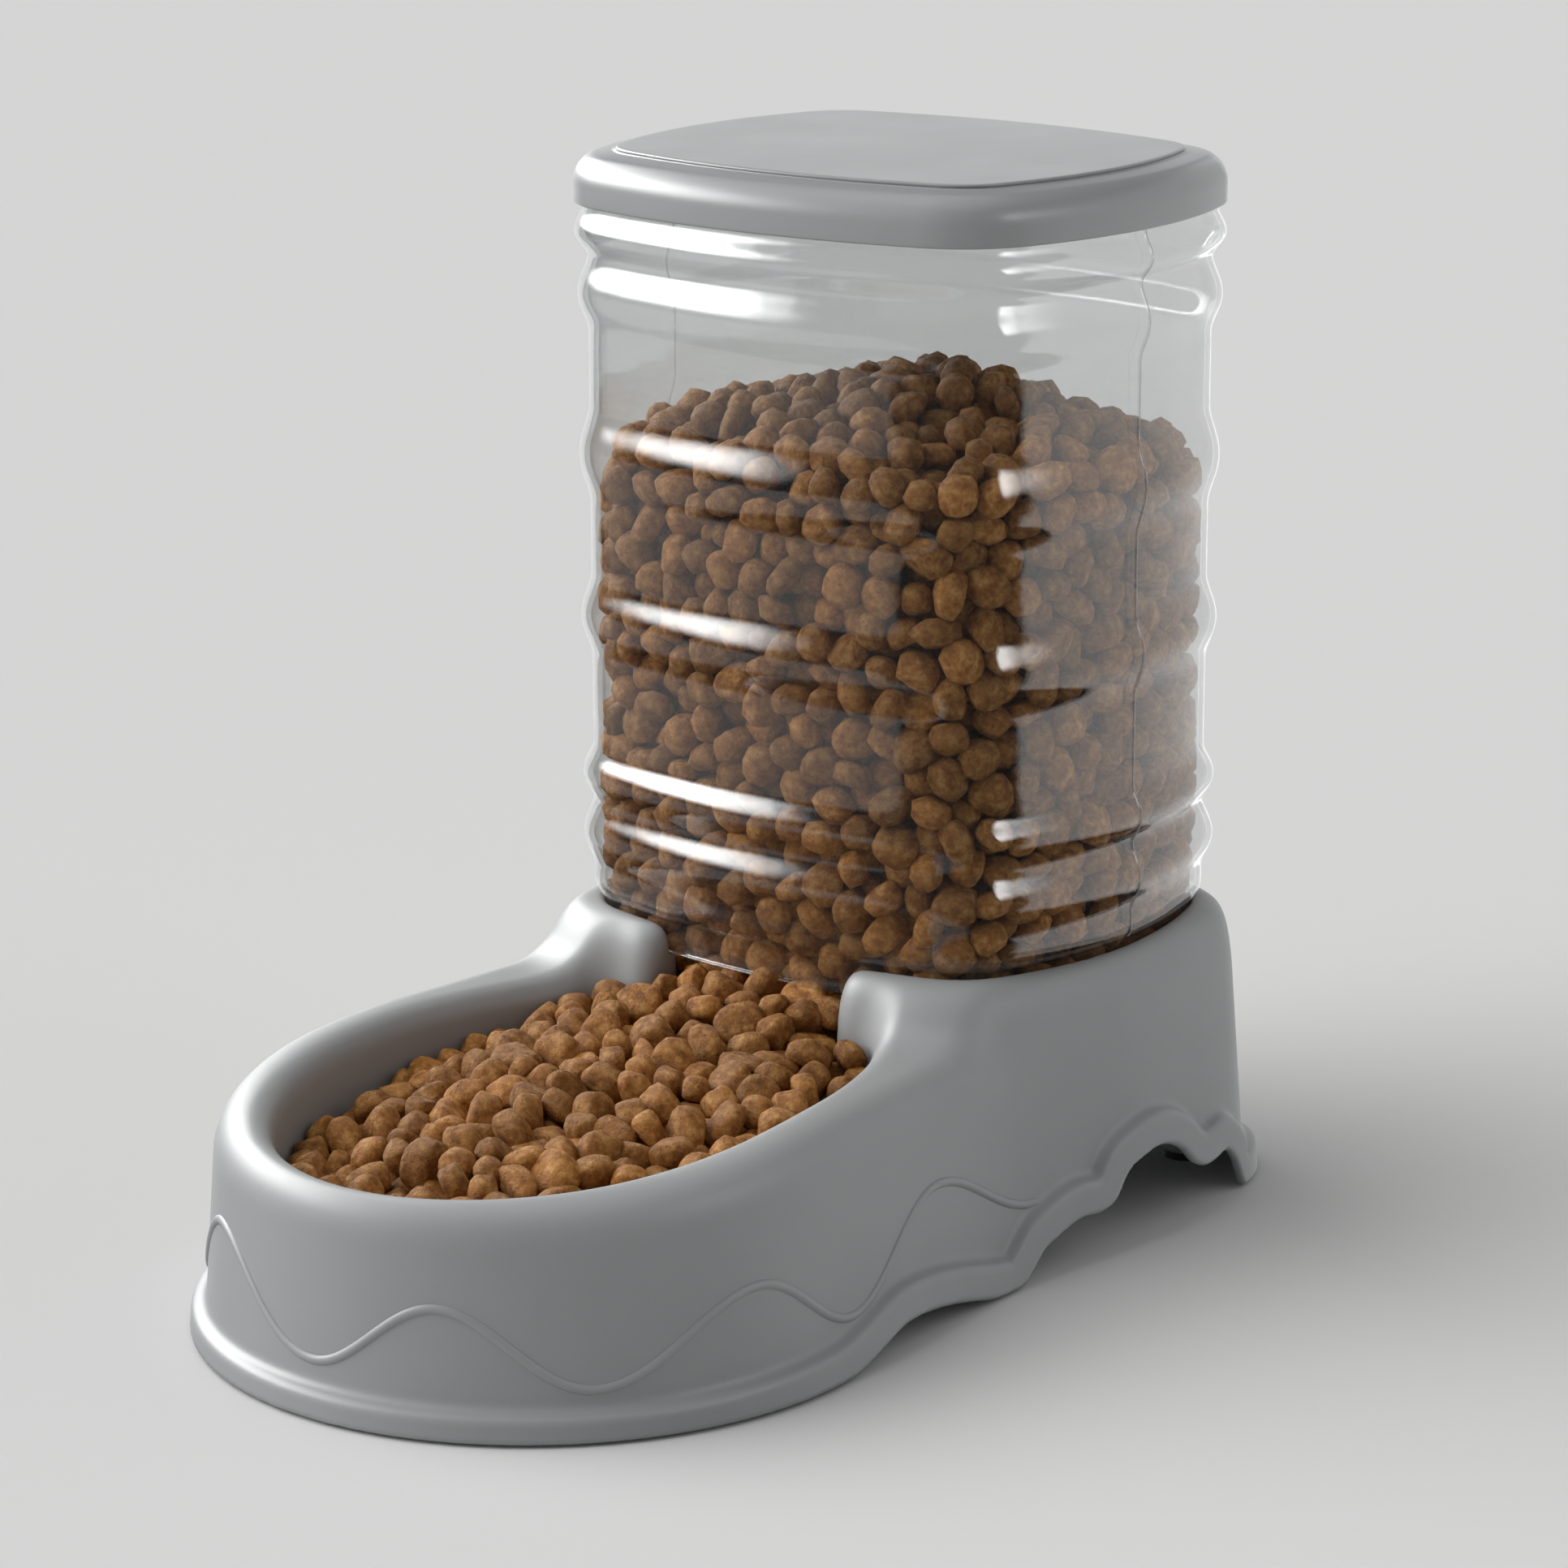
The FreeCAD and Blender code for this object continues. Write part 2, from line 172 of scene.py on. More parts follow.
def through(points, t):
    """A smooth curve through points, evaluated at t."""
    knots = np.array(points, float)
    at, value = knots[:, 0], knots[:, 1]
    slope = np.gradient(value, at)
    i = np.clip(np.searchsorted(at, t) - 1, 0, len(at) - 2)
    span = at[i + 1] - at[i]
    u = np.clip((t - at[i]) / span, 0.0, 1.0)
    rest = 1.0 - u
    return ((1 + 2 * u) * rest ** 2 * value[i] + u * rest ** 2 * span * slope[i]
            + u ** 2 * (3 - 2 * u) * value[i + 1] - u ** 2 * rest * span * slope[i + 1])


def ellipse_distance(x, y, half_x, half_y):
    """About how far outside an ellipse a point is."""
    k0 = np.hypot(x / half_x, y / half_y)
    k1 = np.hypot(x / half_x ** 2, y / half_y ** 2)
    return k0 * (k0 - 1.0) / np.maximum(k1, 1e-6)


def side_back(reach, along, across):
    """How far behind the plan's centre a bowed side's arc has its own centre."""
    squares = along ** 2 + across ** 2 - reach ** 2
    return squares / (2.0 * (reach - along))


def plan_arcs(plan):
    """Where a plan's side arcs have their centres, and the angles where its corner arc starts and ends."""
    half_x, half_y, radius = plan
    back_x = side_back(half_x - radius, CORNER[0], CORNER[1])
    back_y = side_back(half_y - radius, CORNER[1], CORNER[0])
    low = math.atan2(CORNER[1], CORNER[0] + back_x)
    high = math.atan2(CORNER[1] + back_y, CORNER[0])
    return back_x, back_y, low, high


def plan_distance(x, y, plan):
    """How far outside a rounded-square plan a point is. x and y are from the plan's centre."""
    x, y = np.abs(x), np.abs(y)
    half_x, half_y, radius = plan
    back_x, back_y, low, high = plan_arcs(plan)
    side_x = np.hypot(x + back_x, y) - (half_x + back_x)
    side_y = np.hypot(x, y + back_y) - (half_y + back_y)
    corner = np.hypot(x - CORNER[0], y - CORNER[1]) - radius
    angle = np.arctan2(y - CORNER[1], x - CORNER[0])
    in_corner = (angle >= low) & (angle <= high)
    return np.where(in_corner, corner, np.maximum(side_x, side_y))


def plan_loop(plan, steps_side, steps_corner):
    """Points and outward normals round a rounded-square plan, anticlockwise from +X."""
    half_x, half_y, radius = plan
    back_x, back_y, low, high = plan_arcs(plan)
    quarter = math.pi / 2.0
    spans = []
    for turn in range(4):
        along_x = turn % 2 == 0
        near = low if along_x else quarter - high
        far = high if along_x else quarter - low
        sign_x = 1 if turn in (0, 3) else -1
        sign_y = 1 if turn in (0, 1) else -1
        start = turn * quarter
        side = ((-back_x, 0.0), half_x + back_x) if along_x else ((0.0, -back_y), half_y + back_y)
        flip = -1 if turn in (2, 3) else 1
        centre = (side[0][0] * flip, side[0][1] * flip)
        spans.append((centre, side[1], start - near, start + near, steps_side))
        corner = (sign_x * CORNER[0], sign_y * CORNER[1])
        spans.append((corner, radius, start + near, start + far, steps_corner))
    points, normals = [], []
    for centre, size, first, last, steps in spans:
        angles = np.linspace(first, last, steps, endpoint=False)
        normal = np.stack([np.cos(angles), np.sin(angles)], 1)
        points.append(np.array(centre) + size * normal)
        normals.append(normal)
    return np.concatenate(points), np.concatenate(normals)


def panel_distance(x, y):
    """How far outside the hopper's flat panels a point is."""
    return plan_distance(x, y - HOPPER_Y, PANELS)


def new_mesh(name, points, faces):
    """A smooth-shaded mesh object. Points are in millimetres; faces are rows of equal length."""
    mesh = bpy.data.meshes.new(name)
    faces = np.asarray(faces, np.int32)
    mesh.vertices.add(len(points))
    mesh.vertices.foreach_set("co", (np.asarray(points) * MM).astype(np.float32).ravel())
    corners = faces.shape[1]
    mesh.loops.add(faces.size)
    mesh.loops.foreach_set("vertex_index", faces.ravel())
    mesh.polygons.add(len(faces))
    mesh.polygons.foreach_set("loop_start", np.arange(0, faces.size, corners, dtype=np.int32))
    mesh.update(calc_edges=True)
    mesh.validate()
    mesh.shade_smooth()
    piece = bpy.data.objects.new(name, mesh)
    bpy.context.scene.collection.objects.link(piece)
    return piece


def grid_faces(rows, columns, close_rows=False):
    """Quads of a grid whose columns close on themselves."""
    count = rows if close_rows else rows - 1
    row, column = np.meshgrid(np.arange(count), np.arange(columns), indexing="ij")
    up, right = (row + 1) % rows, (column + 1) % columns
    quads = [row * columns + column, row * columns + right, up * columns + right, up * columns + column]
    return np.stack(quads, -1).reshape(-1, 4)


def put_on(piece, body, slot, material, *nodes):
    """Gives a piece its material and its body, and hides the CAD nodes that it stands for. Its slot is not
    used.
    """
    piece.data.materials.clear()
    piece.data.materials.append(material)
    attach(piece, body)
    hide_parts(*nodes)
    return piece


# ---- Base: a solid described by distances, then meshed -------------------------------------------
EDGE_STEP = 0.5
EDGE_START, EDGE_END = -180.0, 180.0
EDGE_BOTTOM, EDGE_TOP = -5.0, 100.0


def edge_table(points):
    """Signed distance above an edge curve, on a fine grid of place along it and height."""
    along = np.arange(EDGE_START, EDGE_END, 0.4)
    curve = through(points, along)
    t = np.arange(EDGE_START, EDGE_END + EDGE_STEP, EDGE_STEP)
    z = np.arange(EDGE_BOTTOM, EDGE_TOP + EDGE_STEP, EDGE_STEP)
    table = np.empty((len(t), len(z)))
    for i, place in enumerate(t):
        near = np.abs(along - place) < 45.0
        gap = np.hypot(along[near][:, None] - place, curve[near][:, None] - z[None, :])
        table[i] = gap.min(0) * np.sign(z - np.interp(place, along, curve) + 1e-6)
    return table


SIDE_TABLE = edge_table(SIDE_EDGE)
REAR_TABLE = edge_table(tuple((-x, z) for x, z in reversed(REAR_EDGE[1:])) + REAR_EDGE)


def look_up(table, t, z):
    """The table's value at place t along the edge and height z, worked out between its grid points."""
    u = np.clip((t - EDGE_START) / EDGE_STEP, 0, table.shape[0] - 1.001)
    v = np.clip((z - EDGE_BOTTOM) / EDGE_STEP, 0, table.shape[1] - 1.001)
    u, v = np.broadcast_arrays(u, v)
    i, j = u.astype(int), v.astype(int)
    a, b = u - i, v - j
    return ((1 - a) * (1 - b) * table[i, j] + a * (1 - b) * table[i + 1, j]
            + (1 - a) * b * table[i, j + 1] + a * b * table[i + 1, j + 1])


def side_half(y):
    """Half width of the base at the floor between the bowl's middle and the hopper's middle."""
    to_waist = smooth_step(BOWL_Y, WAIST_Y, y)
    to_cradle = smooth_step(WAIST_Y, HOPPER_Y, y)
    return BOWL_HALF[0] + (WAIST_HALF - BOWL_HALF[0]) * to_waist + (SKIRT[0] - WAIST_HALF) * to_cradle


def skirt_distance(x, y):
    """How far outside the base's plan at the floor a point is, with x at least 0."""
    slope = side_half(y + 0.5) - side_half(y - 0.5)
    side = (x - side_half(y)) / np.sqrt(1.0 + slope ** 2)
    front = ellipse_distance(x, y - BOWL_Y, *BOWL_HALF)
    rear = plan_distance(x, y - HOPPER_Y, SKIRT)
    return np.where(y < BOWL_Y, front, np.where(y < HOPPER_Y, side, rear))


def rim_height(y):
    return RIM_FRONT_Z + (RIM_REAR_Z - RIM_FRONT_Z) * smooth_step(RIM_FRONT_Y, RIM_REAR_Y, y)


def cradle_distance(x, y, z):
    """The block that holds the hopper, whose rounded front stands in the bowl."""
    plan = plan_distance(x, y - HOPPER_Y - CRADLE_SETBACK, SKIRT)
    return plan - CRADLE_SETBACK + DRAFT_SLOPE * z


def chute_floor(y):
    """Height of the floor: level in the bowl, then rising to the back under the hopper."""
    return FLOOR_Z + CHUTE_SLOPE * np.maximum(y - CHUTE_START_Y, 0.0)


def food_distance(x, y, z):
    """The space for food: bowl, outlet and the chute under the hopper, above the floor."""
    narrowing = CAVITY_DRAFT * (RIM_REAR_Z - z)
    front = ellipse_distance(x, y - BOWL_Y, *CAVITY_FRONT)
    rear = ellipse_distance(x, y - BOWL_Y, *CAVITY_REAR)
    bowl = np.where(y < BOWL_Y, front, rear) + narrowing
    bowl = smooth_max(bowl, -cradle_distance(x, y, z), SOFT_BOWL_TO_CRADLE)
    outlet = np.maximum(x - OUTLET_HALF_X, np.maximum(BOWL_Y - y, y - HOPPER_Y + OUTLET_DEPTH))
    chute = panel_distance(x, y) - CHUTE_OFFSET
    space = smooth_min(smooth_min(bowl, outlet, SOFT_OUTLET), chute, SOFT_CHUTE)
    return smooth_max(space, (chute_floor(y) - z) * 0.93, SOFT_FLOOR)


def band_distance(x, y, z, skirt, wall):
    """The foot band and the space below the wavy lower edge, which the band follows. The band's upper
    ridge comes to a cusp over each dip of the edge."""
    above_edge = np.where(y > REAR_Y, look_up(REAR_TABLE, x, z), look_up(SIDE_TABLE, y, z))
    ledge = (above_edge - BAND_HEIGHT + 0.35 * np.maximum(wall, -2.0)) * 0.94
    band = smooth_max(wall - BAND, ledge, SOFT_BAND)
    return band, np.maximum(above_edge, -skirt - SKIRT_REACH)


def base_distance(x, y, z):
    """How far outside the base a point is, and below 0 inside it."""
    x = np.abs(x)
    skirt = skirt_distance(x, y)
    wall = skirt + DRAFT_SLOPE * z
    rise = smooth_min(z - rim_height(y), cradle_distance(x, y, z), SOFT_RIM_TO_CRADLE)
    top = smooth_max(rise, z - CRADLE_TOP_Z + 0.2, SOFT_CRADLE_TOP)
    outside = smooth_max(wall, top, SOFT_OUTER_EDGE)
    band, below = band_distance(x, y, z, skirt, wall)
    outside = smooth_min(outside, band, SOFT_BAND_ROOT)

    food = food_distance(x, y, z)
    solid = smooth_max(outside, -food, SOFT_INNER_EDGE)
    hollow = np.maximum(np.maximum(outside + WALL, WALL - food), z - LIP_Z)
    solid = smooth_max(solid, -hollow, 1.0)
    for pad_x, pad_y in PAD_PLACES:
        if pad_x > 0:
            post = np.maximum(np.hypot(x - pad_x, y - pad_y) - POST_RADIUS, PAD_TOP_Z - z)
            post = np.maximum(post, np.maximum(0.5 - food, outside + 1.0))
            solid = smooth_min(solid, post, 1.5)
    pocket = np.maximum(panel_distance(x, y) - POCKET_OFFSET, POCKET_Z - z)
    solid = smooth_max(solid, -pocket, 1.2)
    solid = smooth_max(solid, -below, 1.6)
    return smooth_max(solid, BASE_LOW[2] - z + 0.4, 1.0)


def gradient(points, step=0.05):
    """The slope of the base's distance at each point."""
    result = np.empty_like(points)
    for axis in range(3):
        ahead, behind = points.copy(), points.copy()
        ahead[:, axis] += step
        behind[:, axis] -= step
        result[:, axis] = (base_distance(*ahead.T) - base_distance(*behind.T)) / (2.0 * step)
    return result


def base_surface(pitch):
    """The base's surface as quads, each point moved onto the exact shape."""
    low = np.array([BASE_LOW[0] - 5.0, BASE_LOW[1] - 5.0, -3.0])
    high = np.array([BASE_HIGH[0] + 5.0, BASE_HIGH[1] + 5.0, CRADLE_TOP_Z + 6.0])
    counts = np.ceil((high - low) / pitch).astype(int)
    axes = [low[i] + pitch * np.arange(counts[i]) for i in range(3)]
    x, y, z = np.meshgrid(*axes, indexing="ij", sparse=True)
    field = np.clip(base_distance(x, y, z), -4.0, 4.0).astype(np.float32)
    grid = openvdb.FloatGrid(4.0)
    grid.copyFromArray(field)
    points, quads = grid.convertToQuads(isovalue=0.0)
    points = low + pitch * points.astype(float)
    for _ in range(4):
        slope = gradient(points)
        size = np.maximum((slope ** 2).sum(1), 0.05)
        step = slope * (base_distance(*points.T) / size)[:, None]
        points -= np.clip(step, -0.4 * pitch, 0.4 * pitch)
    return points, quads


def outline_from_front(steps):
    """The base's plan at the floor from the middle of the front back to the cradle, on the +X side."""
    angle = np.linspace(0.0, math.pi / 2.0, steps)
    front = np.stack([BOWL_HALF[0] * np.sin(angle), BOWL_Y - BOWL_HALF[1] * np.cos(angle)], 1)
    y = np.linspace(BOWL_Y, 40.0, steps)[1:]
    side = np.stack([side_half(y), y], 1)
    points = np.concatenate([front, side])
    length = np.concatenate([[0.0], np.cumsum(np.hypot(*np.diff(points, axis=0).T))])
    return points, length


def wave_path(keys, side):
    """The middle line of the raised wave round one side, and which way is out of the wall."""
    outline, length = outline_from_front(200)
    at = np.arange(0.0, keys[-1][0], 0.8)
    place = np.stack([np.interp(at, length, outline[:, i]) for i in range(2)], 1)
    along = np.stack([np.interp(at + 0.4, length, outline[:, i]) for i in range(2)], 1) - place
    along /= np.hypot(*along.T)[:, None]
    outward = np.stack([along[:, 1], -along[:, 0]], 1)
    keys = np.array(keys)
    i = np.clip(np.searchsorted(keys[:, 0], at, side="right") - 1, 0, len(keys) - 2)
    u = (at - keys[i, 0]) / (keys[i + 1, 0] - keys[i, 0])
    height = keys[i, 1] + (keys[i + 1, 1] - keys[i, 1]) * (1.0 - np.cos(math.pi * u)) / 2.0
    sunk = WAVE_PROUD - WAVE_RADIUS - DRAFT_SLOPE * height
    path = np.column_stack([place + outward * sunk[:, None], height])
    flip = np.array([side, 1.0, 1.0])
    return path * flip, np.column_stack([outward, np.zeros(len(at))]) * flip


def wave_tube():
    """The raised wave line, a bead half sunk in the wall that runs round the front of the bowl."""
    right, out_right = wave_path(WAVE_RIGHT, 1.0)
    left, out_left = wave_path(WAVE_LEFT, -1.0)
    path = np.concatenate([left[:0:-1], right])
    out = np.concatenate([out_left[:0:-1], out_right])
    tangent = np.gradient(path, axis=0)
    tangent /= np.linalg.norm(tangent, axis=1)[:, None]
    across = np.cross(tangent, out)
    across /= np.linalg.norm(across, axis=1)[:, None]
    sides = 12
    turn = np.linspace(0.0, 2.0 * math.pi, sides, endpoint=False)
    rings = (path[:, None] + WAVE_RADIUS * (np.cos(turn)[None, :, None] * out[:, None]
                                            + np.sin(turn)[None, :, None] * across[:, None]))
    return rings.reshape(-1, 3), grid_faces(len(path), sides)


def make_base(material):
    points, quads = base_surface(1.0)
    bead, bead_quads = wave_tube()
    faces = np.concatenate([quads[:, ::-1], bead_quads + len(points)])
    piece = new_mesh("base_moulding", np.concatenate([points, bead]), faces)
    return put_on(piece, "base", "base_plastic", material, "base")


# ---- Hopper and lid: a section swept round the plan ----------------------------------------------
def swept(section, points, normals):
    """Rings of points: the section's offsets and heights carried round the plan."""
    offset, height = np.array(section, float).T
    ring_xy = points[None, :, :] + offset[:, None, None] * normals[None, :, :]
    z = np.repeat(height[:, None], len(points), axis=1)
    return np.concatenate([ring_xy, z[:, :, None]], 2)


def bulge(t, sharpness=1.0):
    """A rib's section, 0 at its ends and 1 in its middle, with soft hollows where it starts."""
    return (0.5 - 0.5 * np.cos(2.0 * math.pi * t)) ** sharpness


def panel_offset(z):
    """The hopper wall's outside from its flat panels, at height z above the heel."""
    offset = np.zeros_like(z)
    for low, high in RIBS:
        inside = (z > low) & (z < high)
        offset = np.where(inside, RIB * bulge((z - low) / (high - low), 0.8), offset)
    low, middle, high = TOP_RIB
    rising = TOP_RIB_OFFSET * bulge((z - low) / (middle - low) / 2.0, 0.8)
    falling = NECK_OFFSET + (TOP_RIB_OFFSET - NECK_OFFSET) * bulge((high - z) / (high - middle) / 2.0, 0.8)
    offset = np.where((z > low) & (z <= middle), rising, offset)
    offset = np.where((z > middle) & (z < high), falling, offset)
    return np.where(z >= high, NECK_OFFSET, offset)


def arc_steps(centre, radii, first, last, steps):
    """Points of a section along an arc, from one angle to another in degrees."""
    angles = np.radians(np.linspace(first, last, steps))
    return [(centre[0] + radii[0] * math.cos(a), centre[1] + radii[1] * math.sin(a)) for a in angles]


def hopper_section():
    """Offsets and heights up the outside of the hopper's wall and down its inside."""
    z = np.concatenate([np.arange(HEEL_TOP_Z + HEEL_FLARE + 1.0, TOP_RIB[2], 1.15), [TOP_RIB[2]]])
    flare = (HEEL_OFFSET, HEEL_TOP_Z + HEEL_FLARE)
    top = HOPPER_HIGH[2]
    outside = [(HEEL_OFFSET + 0.5, POCKET_Z), (HEEL_OFFSET + 0.1, POCKET_Z + 0.4),
               (HEEL_OFFSET, POCKET_Z + 0.9), (HEEL_OFFSET, POCKET_Z + 4.0),
               (HEEL_OFFSET, HEEL_TOP_Z - 0.6)]
    outside += arc_steps(flare, (-HEEL_OFFSET, HEEL_FLARE), -83.0, 0.0, 8)
    outside += list(zip(panel_offset(z), z))
    outside += [(NECK_OFFSET, top - 3.0), (NECK_OFFSET, top - 0.5), (NECK_OFFSET - 0.4, top)]
    inside = [(o - HOPPER_WALL + 0.4, h) for o, h in outside[-1:]]
    inside += [(NECK_OFFSET - HOPPER_WALL, top - 0.5), (NECK_OFFSET - HOPPER_WALL, top - 3.0)]
    inside += [(o - HOPPER_WALL, h) for o, h in zip(panel_offset(z)[::-1], z[::-1])]
    flare = (HEEL_OFFSET - HOPPER_WALL, HEEL_TOP_Z + HEEL_FLARE + 0.8)
    inside += arc_steps(flare, (-HEEL_OFFSET, HEEL_FLARE), 0.0, -83.0, 8)
    inside += [(HEEL_OFFSET - HOPPER_WALL, POCKET_Z + 4.0), (HEEL_OFFSET - HOPPER_WALL, POCKET_Z + 0.8),
               (HEEL_OFFSET - HOPPER_WALL + 0.4, POCKET_Z)]
    return outside, inside


def with_seam(points, normals):
    """Adds close points beside the middle of each X side, where the two mould halves met."""
    keep = np.abs(points[:, 1] - SEAM_Y) > 2.2
    keep |= np.abs(points[:, 0]) < SIDE_X
    half_x = PANELS[0]
    back = side_back(half_x - PANELS[2], CORNER[0], CORNER[1])
    radius = half_x + back
    extra_points, extra_normals = [], []
    for sign in (1.0, -1.0):
        y = SEAM_Y + np.array(SEAM_STEPS)
        angle = np.arcsin(y / radius)
        normal = np.stack([sign * np.cos(angle), np.sin(angle)], 1)
        extra_points.append(np.array([-sign * back, 0.0]) + radius * normal)
        extra_normals.append(normal)
    points = np.concatenate([points[keep], *extra_points])
    normals = np.concatenate([normals[keep], *extra_normals])
    order = np.argsort(np.arctan2(points[:, 1], points[:, 0]))
    return points[order], normals[order]


def make_hopper(material):
    points, normals = with_seam(*plan_loop(PANELS, 44, 30))
    outside, inside = hopper_section()
    rings = swept(outside + inside, points, normals)
    on_seam = (np.abs(points[:, 1] - SEAM_Y) < 0.2) & (np.abs(points[:, 0]) > SIDE_X)
    rows = np.array([h > HEEL_TOP_Z + 1.0 for _, h in outside] + [False] * len(inside))
    lift = SEAM_HEIGHT * on_seam[None, :, None] * rows[:, None, None] * normals[None, :, :]
    rings[:, :, :2] += lift
    rings[:, :, 1] += HOPPER_Y
    faces = grid_faces(len(outside) + len(inside), len(points), close_rows=True)
    piece = new_mesh("hopper_shell", rings.reshape(-1, 3), faces)
    piece.visible_shadow = False
    seam = piece.data.attributes.new("seam", "FLOAT", "POINT")
    seam.data.foreach_set("value", (rows[:, None] & on_seam[None, :]).astype(np.float32).ravel())
    return put_on(piece, "hopper", "clear_plastic", material, "hopper")


def cap(loop, row_start, first, height, crown):
    """Rings that shrink to one point and close a loop, whose vertices start at row_start. The new
    vertices start at first."""
    count = len(loop)
    column = np.arange(count)
    right = (column + 1) % count
    vertices, faces = [], []
    previous = row_start + column
    for share in np.linspace(0.88, 0.08, 11):
        z = np.full((count, 1), height + crown * (1.0 - share))
        vertices.append(np.column_stack([share * loop[:, :2], z]))
        here = first + column
        faces.append(np.stack([previous, previous[right], here[right], here], 1))
        previous = here
        first += count
    vertices.append(np.array([[0.0, 0.0, height + crown]]))
    second, third = previous[right], previous[np.roll(column, -2)]
    centre = np.full(count, first)
    faces.append(np.stack([previous[0::2], second[0::2], third[0::2], centre[0::2]], 1))
    return np.concatenate(vertices), np.concatenate(faces)


def lid_section():
    """Offsets and heights of the lid: over its outside to the flat top, and below it back to the edge."""
    edge, top = LID_LOW[2], LID_HIGH[2]
    step = LID_PANEL_OFFSET
    outside = [(LID_OFFSET - 1.7, edge + 0.5), (LID_OFFSET - 1.2, edge + 0.1), (LID_OFFSET - 0.7, edge)]
    outside += arc_steps((LID_OFFSET - 0.7, edge + 0.7), (0.7, 0.7), -60, 0, 5)
    outside += [(LID_OFFSET, edge + 3.0)]
    outside += arc_steps((LID_OFFSET - 7.4, edge + 5.6), (7.4, 7.9), 0, 78, 16)
    outside += [(-6.4, top - 1.15), (step + 0.35, top - 0.95)]
    outside += arc_steps((step + 0.1, top - 0.55), (0.45, 0.5), -50, 90, 7)
    outside += [(step - 1.5, top - 0.04), (step - 6.0, top - 0.03)]
    plug = HOPPER_HIGH[2] - 6.6
    underside = [(step - 6.0, top - LID_WALL), (step + 1.0, top - 2.6), (step + 4.0, top - 3.2),
                 (-2.4, top - 3.9), (-2.3, plug + 0.4), (-2.0, plug), (-1.1, plug), (-0.8, plug + 0.4),
                 (-0.8, top - 5.2), (1.0, top - 5.3), (1.6, top - 5.8), (1.6, edge + 0.8)]
    return outside, underside


def make_lid(material):
    outside, underside = lid_section()
    points, normals = plan_loop(PANELS, 40, 30)
    rings = swept(outside + underside, points, normals)
    body = rings.reshape(-1, 3)
    count = len(points)
    under_row = len(outside)
    rim_row = under_row - 1
    last_row = len(rings) - 1
    column = np.arange(count)
    right = (column + 1) % count
    edge = [last_row * count + column, last_row * count + right, right, column]
    top = LID_HIGH[2]
    roof, roof_faces = cap(rings[rim_row], rim_row * count, len(body), top - 0.03, 0.03)
    next_vertex = len(body) + len(roof)
    ceiling, ceiling_faces = cap(rings[under_row], under_row * count, next_vertex, top - LID_WALL, 0.0)
    faces = [grid_faces(under_row, count), grid_faces(len(underside), count) + under_row * count,
             np.stack(edge, 1), roof_faces, ceiling_faces[:, ::-1]]
    vertices = np.concatenate([body, roof, ceiling])
    vertices[:, 1] += HOPPER_Y
    piece = new_mesh("lid_moulding", vertices, np.concatenate(faces))
    return put_on(piece, "lid", "lid_plastic", material, "lid")


# ---- Pellets of food -----------------------------------------------------------------------------
def ball(level):
    """Points and triangles of a round ball made by splitting an icosahedron."""
    work = bmesh.new()
    bmesh.ops.create_icosphere(work, subdivisions=level, radius=1.0)
    work.verts.ensure_lookup_table()
    points = np.array([v.co[:] for v in work.verts])
    faces = np.array([[v.index for v in f.verts] for f in work.faces])
    work.free()
    return points, faces


def lumps(points, draw, count, size, height):
    """Soft bumps and dents in random directions over a ball."""
    total = np.zeros(len(points))
    for _ in range(count):
        direction = draw.normal(size=3)
        direction /= np.linalg.norm(direction)
        gap = np.arccos(np.clip(points @ direction, -1.0, 1.0))
        total += draw.normal() * height * np.exp(-(gap / size) ** 2)
    return total


def pellet(draw, level):
    """One extruded and baked pellet, about 1 across: a fat disc, a barrel or a lump, with flat spots."""
    points, faces = ball(level)
    kind = draw.choice(3, p=[0.5, 0.3, 0.2])
    half = np.array(((0.58, 0.52, 0.34), (0.6, 0.41, 0.37), (0.52, 0.47, 0.42))[kind])
    flat = (5.5, 4.0, 3.0)[kind]
    x, y, z = np.abs(points).T
    edge = (x ** 2.4 + y ** 2.4) ** (1.0 / 2.4)
    shape = (edge ** flat + z ** flat) ** (-1.0 / flat)
    fine = 0.15 if level > 2 else 0.28
    surface = 1.0 + lumps(points, draw, 7, 0.7, 0.06) + lumps(points, draw, 26, 0.3, 0.024)
    surface += lumps(points, draw, 60, fine, 0.014)
    points = points * (shape * surface)[:, None] * half * draw.uniform(0.9, 1.1, 3)
    for _ in range(5):
        way = draw.normal(size=3)
        way /= np.linalg.norm(way)
        reach = points @ way
        over = np.maximum(reach - reach.max() * draw.uniform(0.72, 0.92), 0.0)
        points -= 0.85 * over[:, None] * way
    return points, faces


def turned(draw):
    """A turn to a random direction, as a matrix."""
    q = draw.normal(size=4)
    q /= np.linalg.norm(q)
    w, x, y, z = q
    return np.array([[1 - 2 * (y * y + z * z), 2 * (x * y - z * w), 2 * (x * z + y * w)],
                     [2 * (x * y + z * w), 1 - 2 * (x * x + z * z), 2 * (y * z - x * w)],
                     [2 * (x * z - y * w), 2 * (y * z + x * w), 1 - 2 * (x * x + y * y)]])


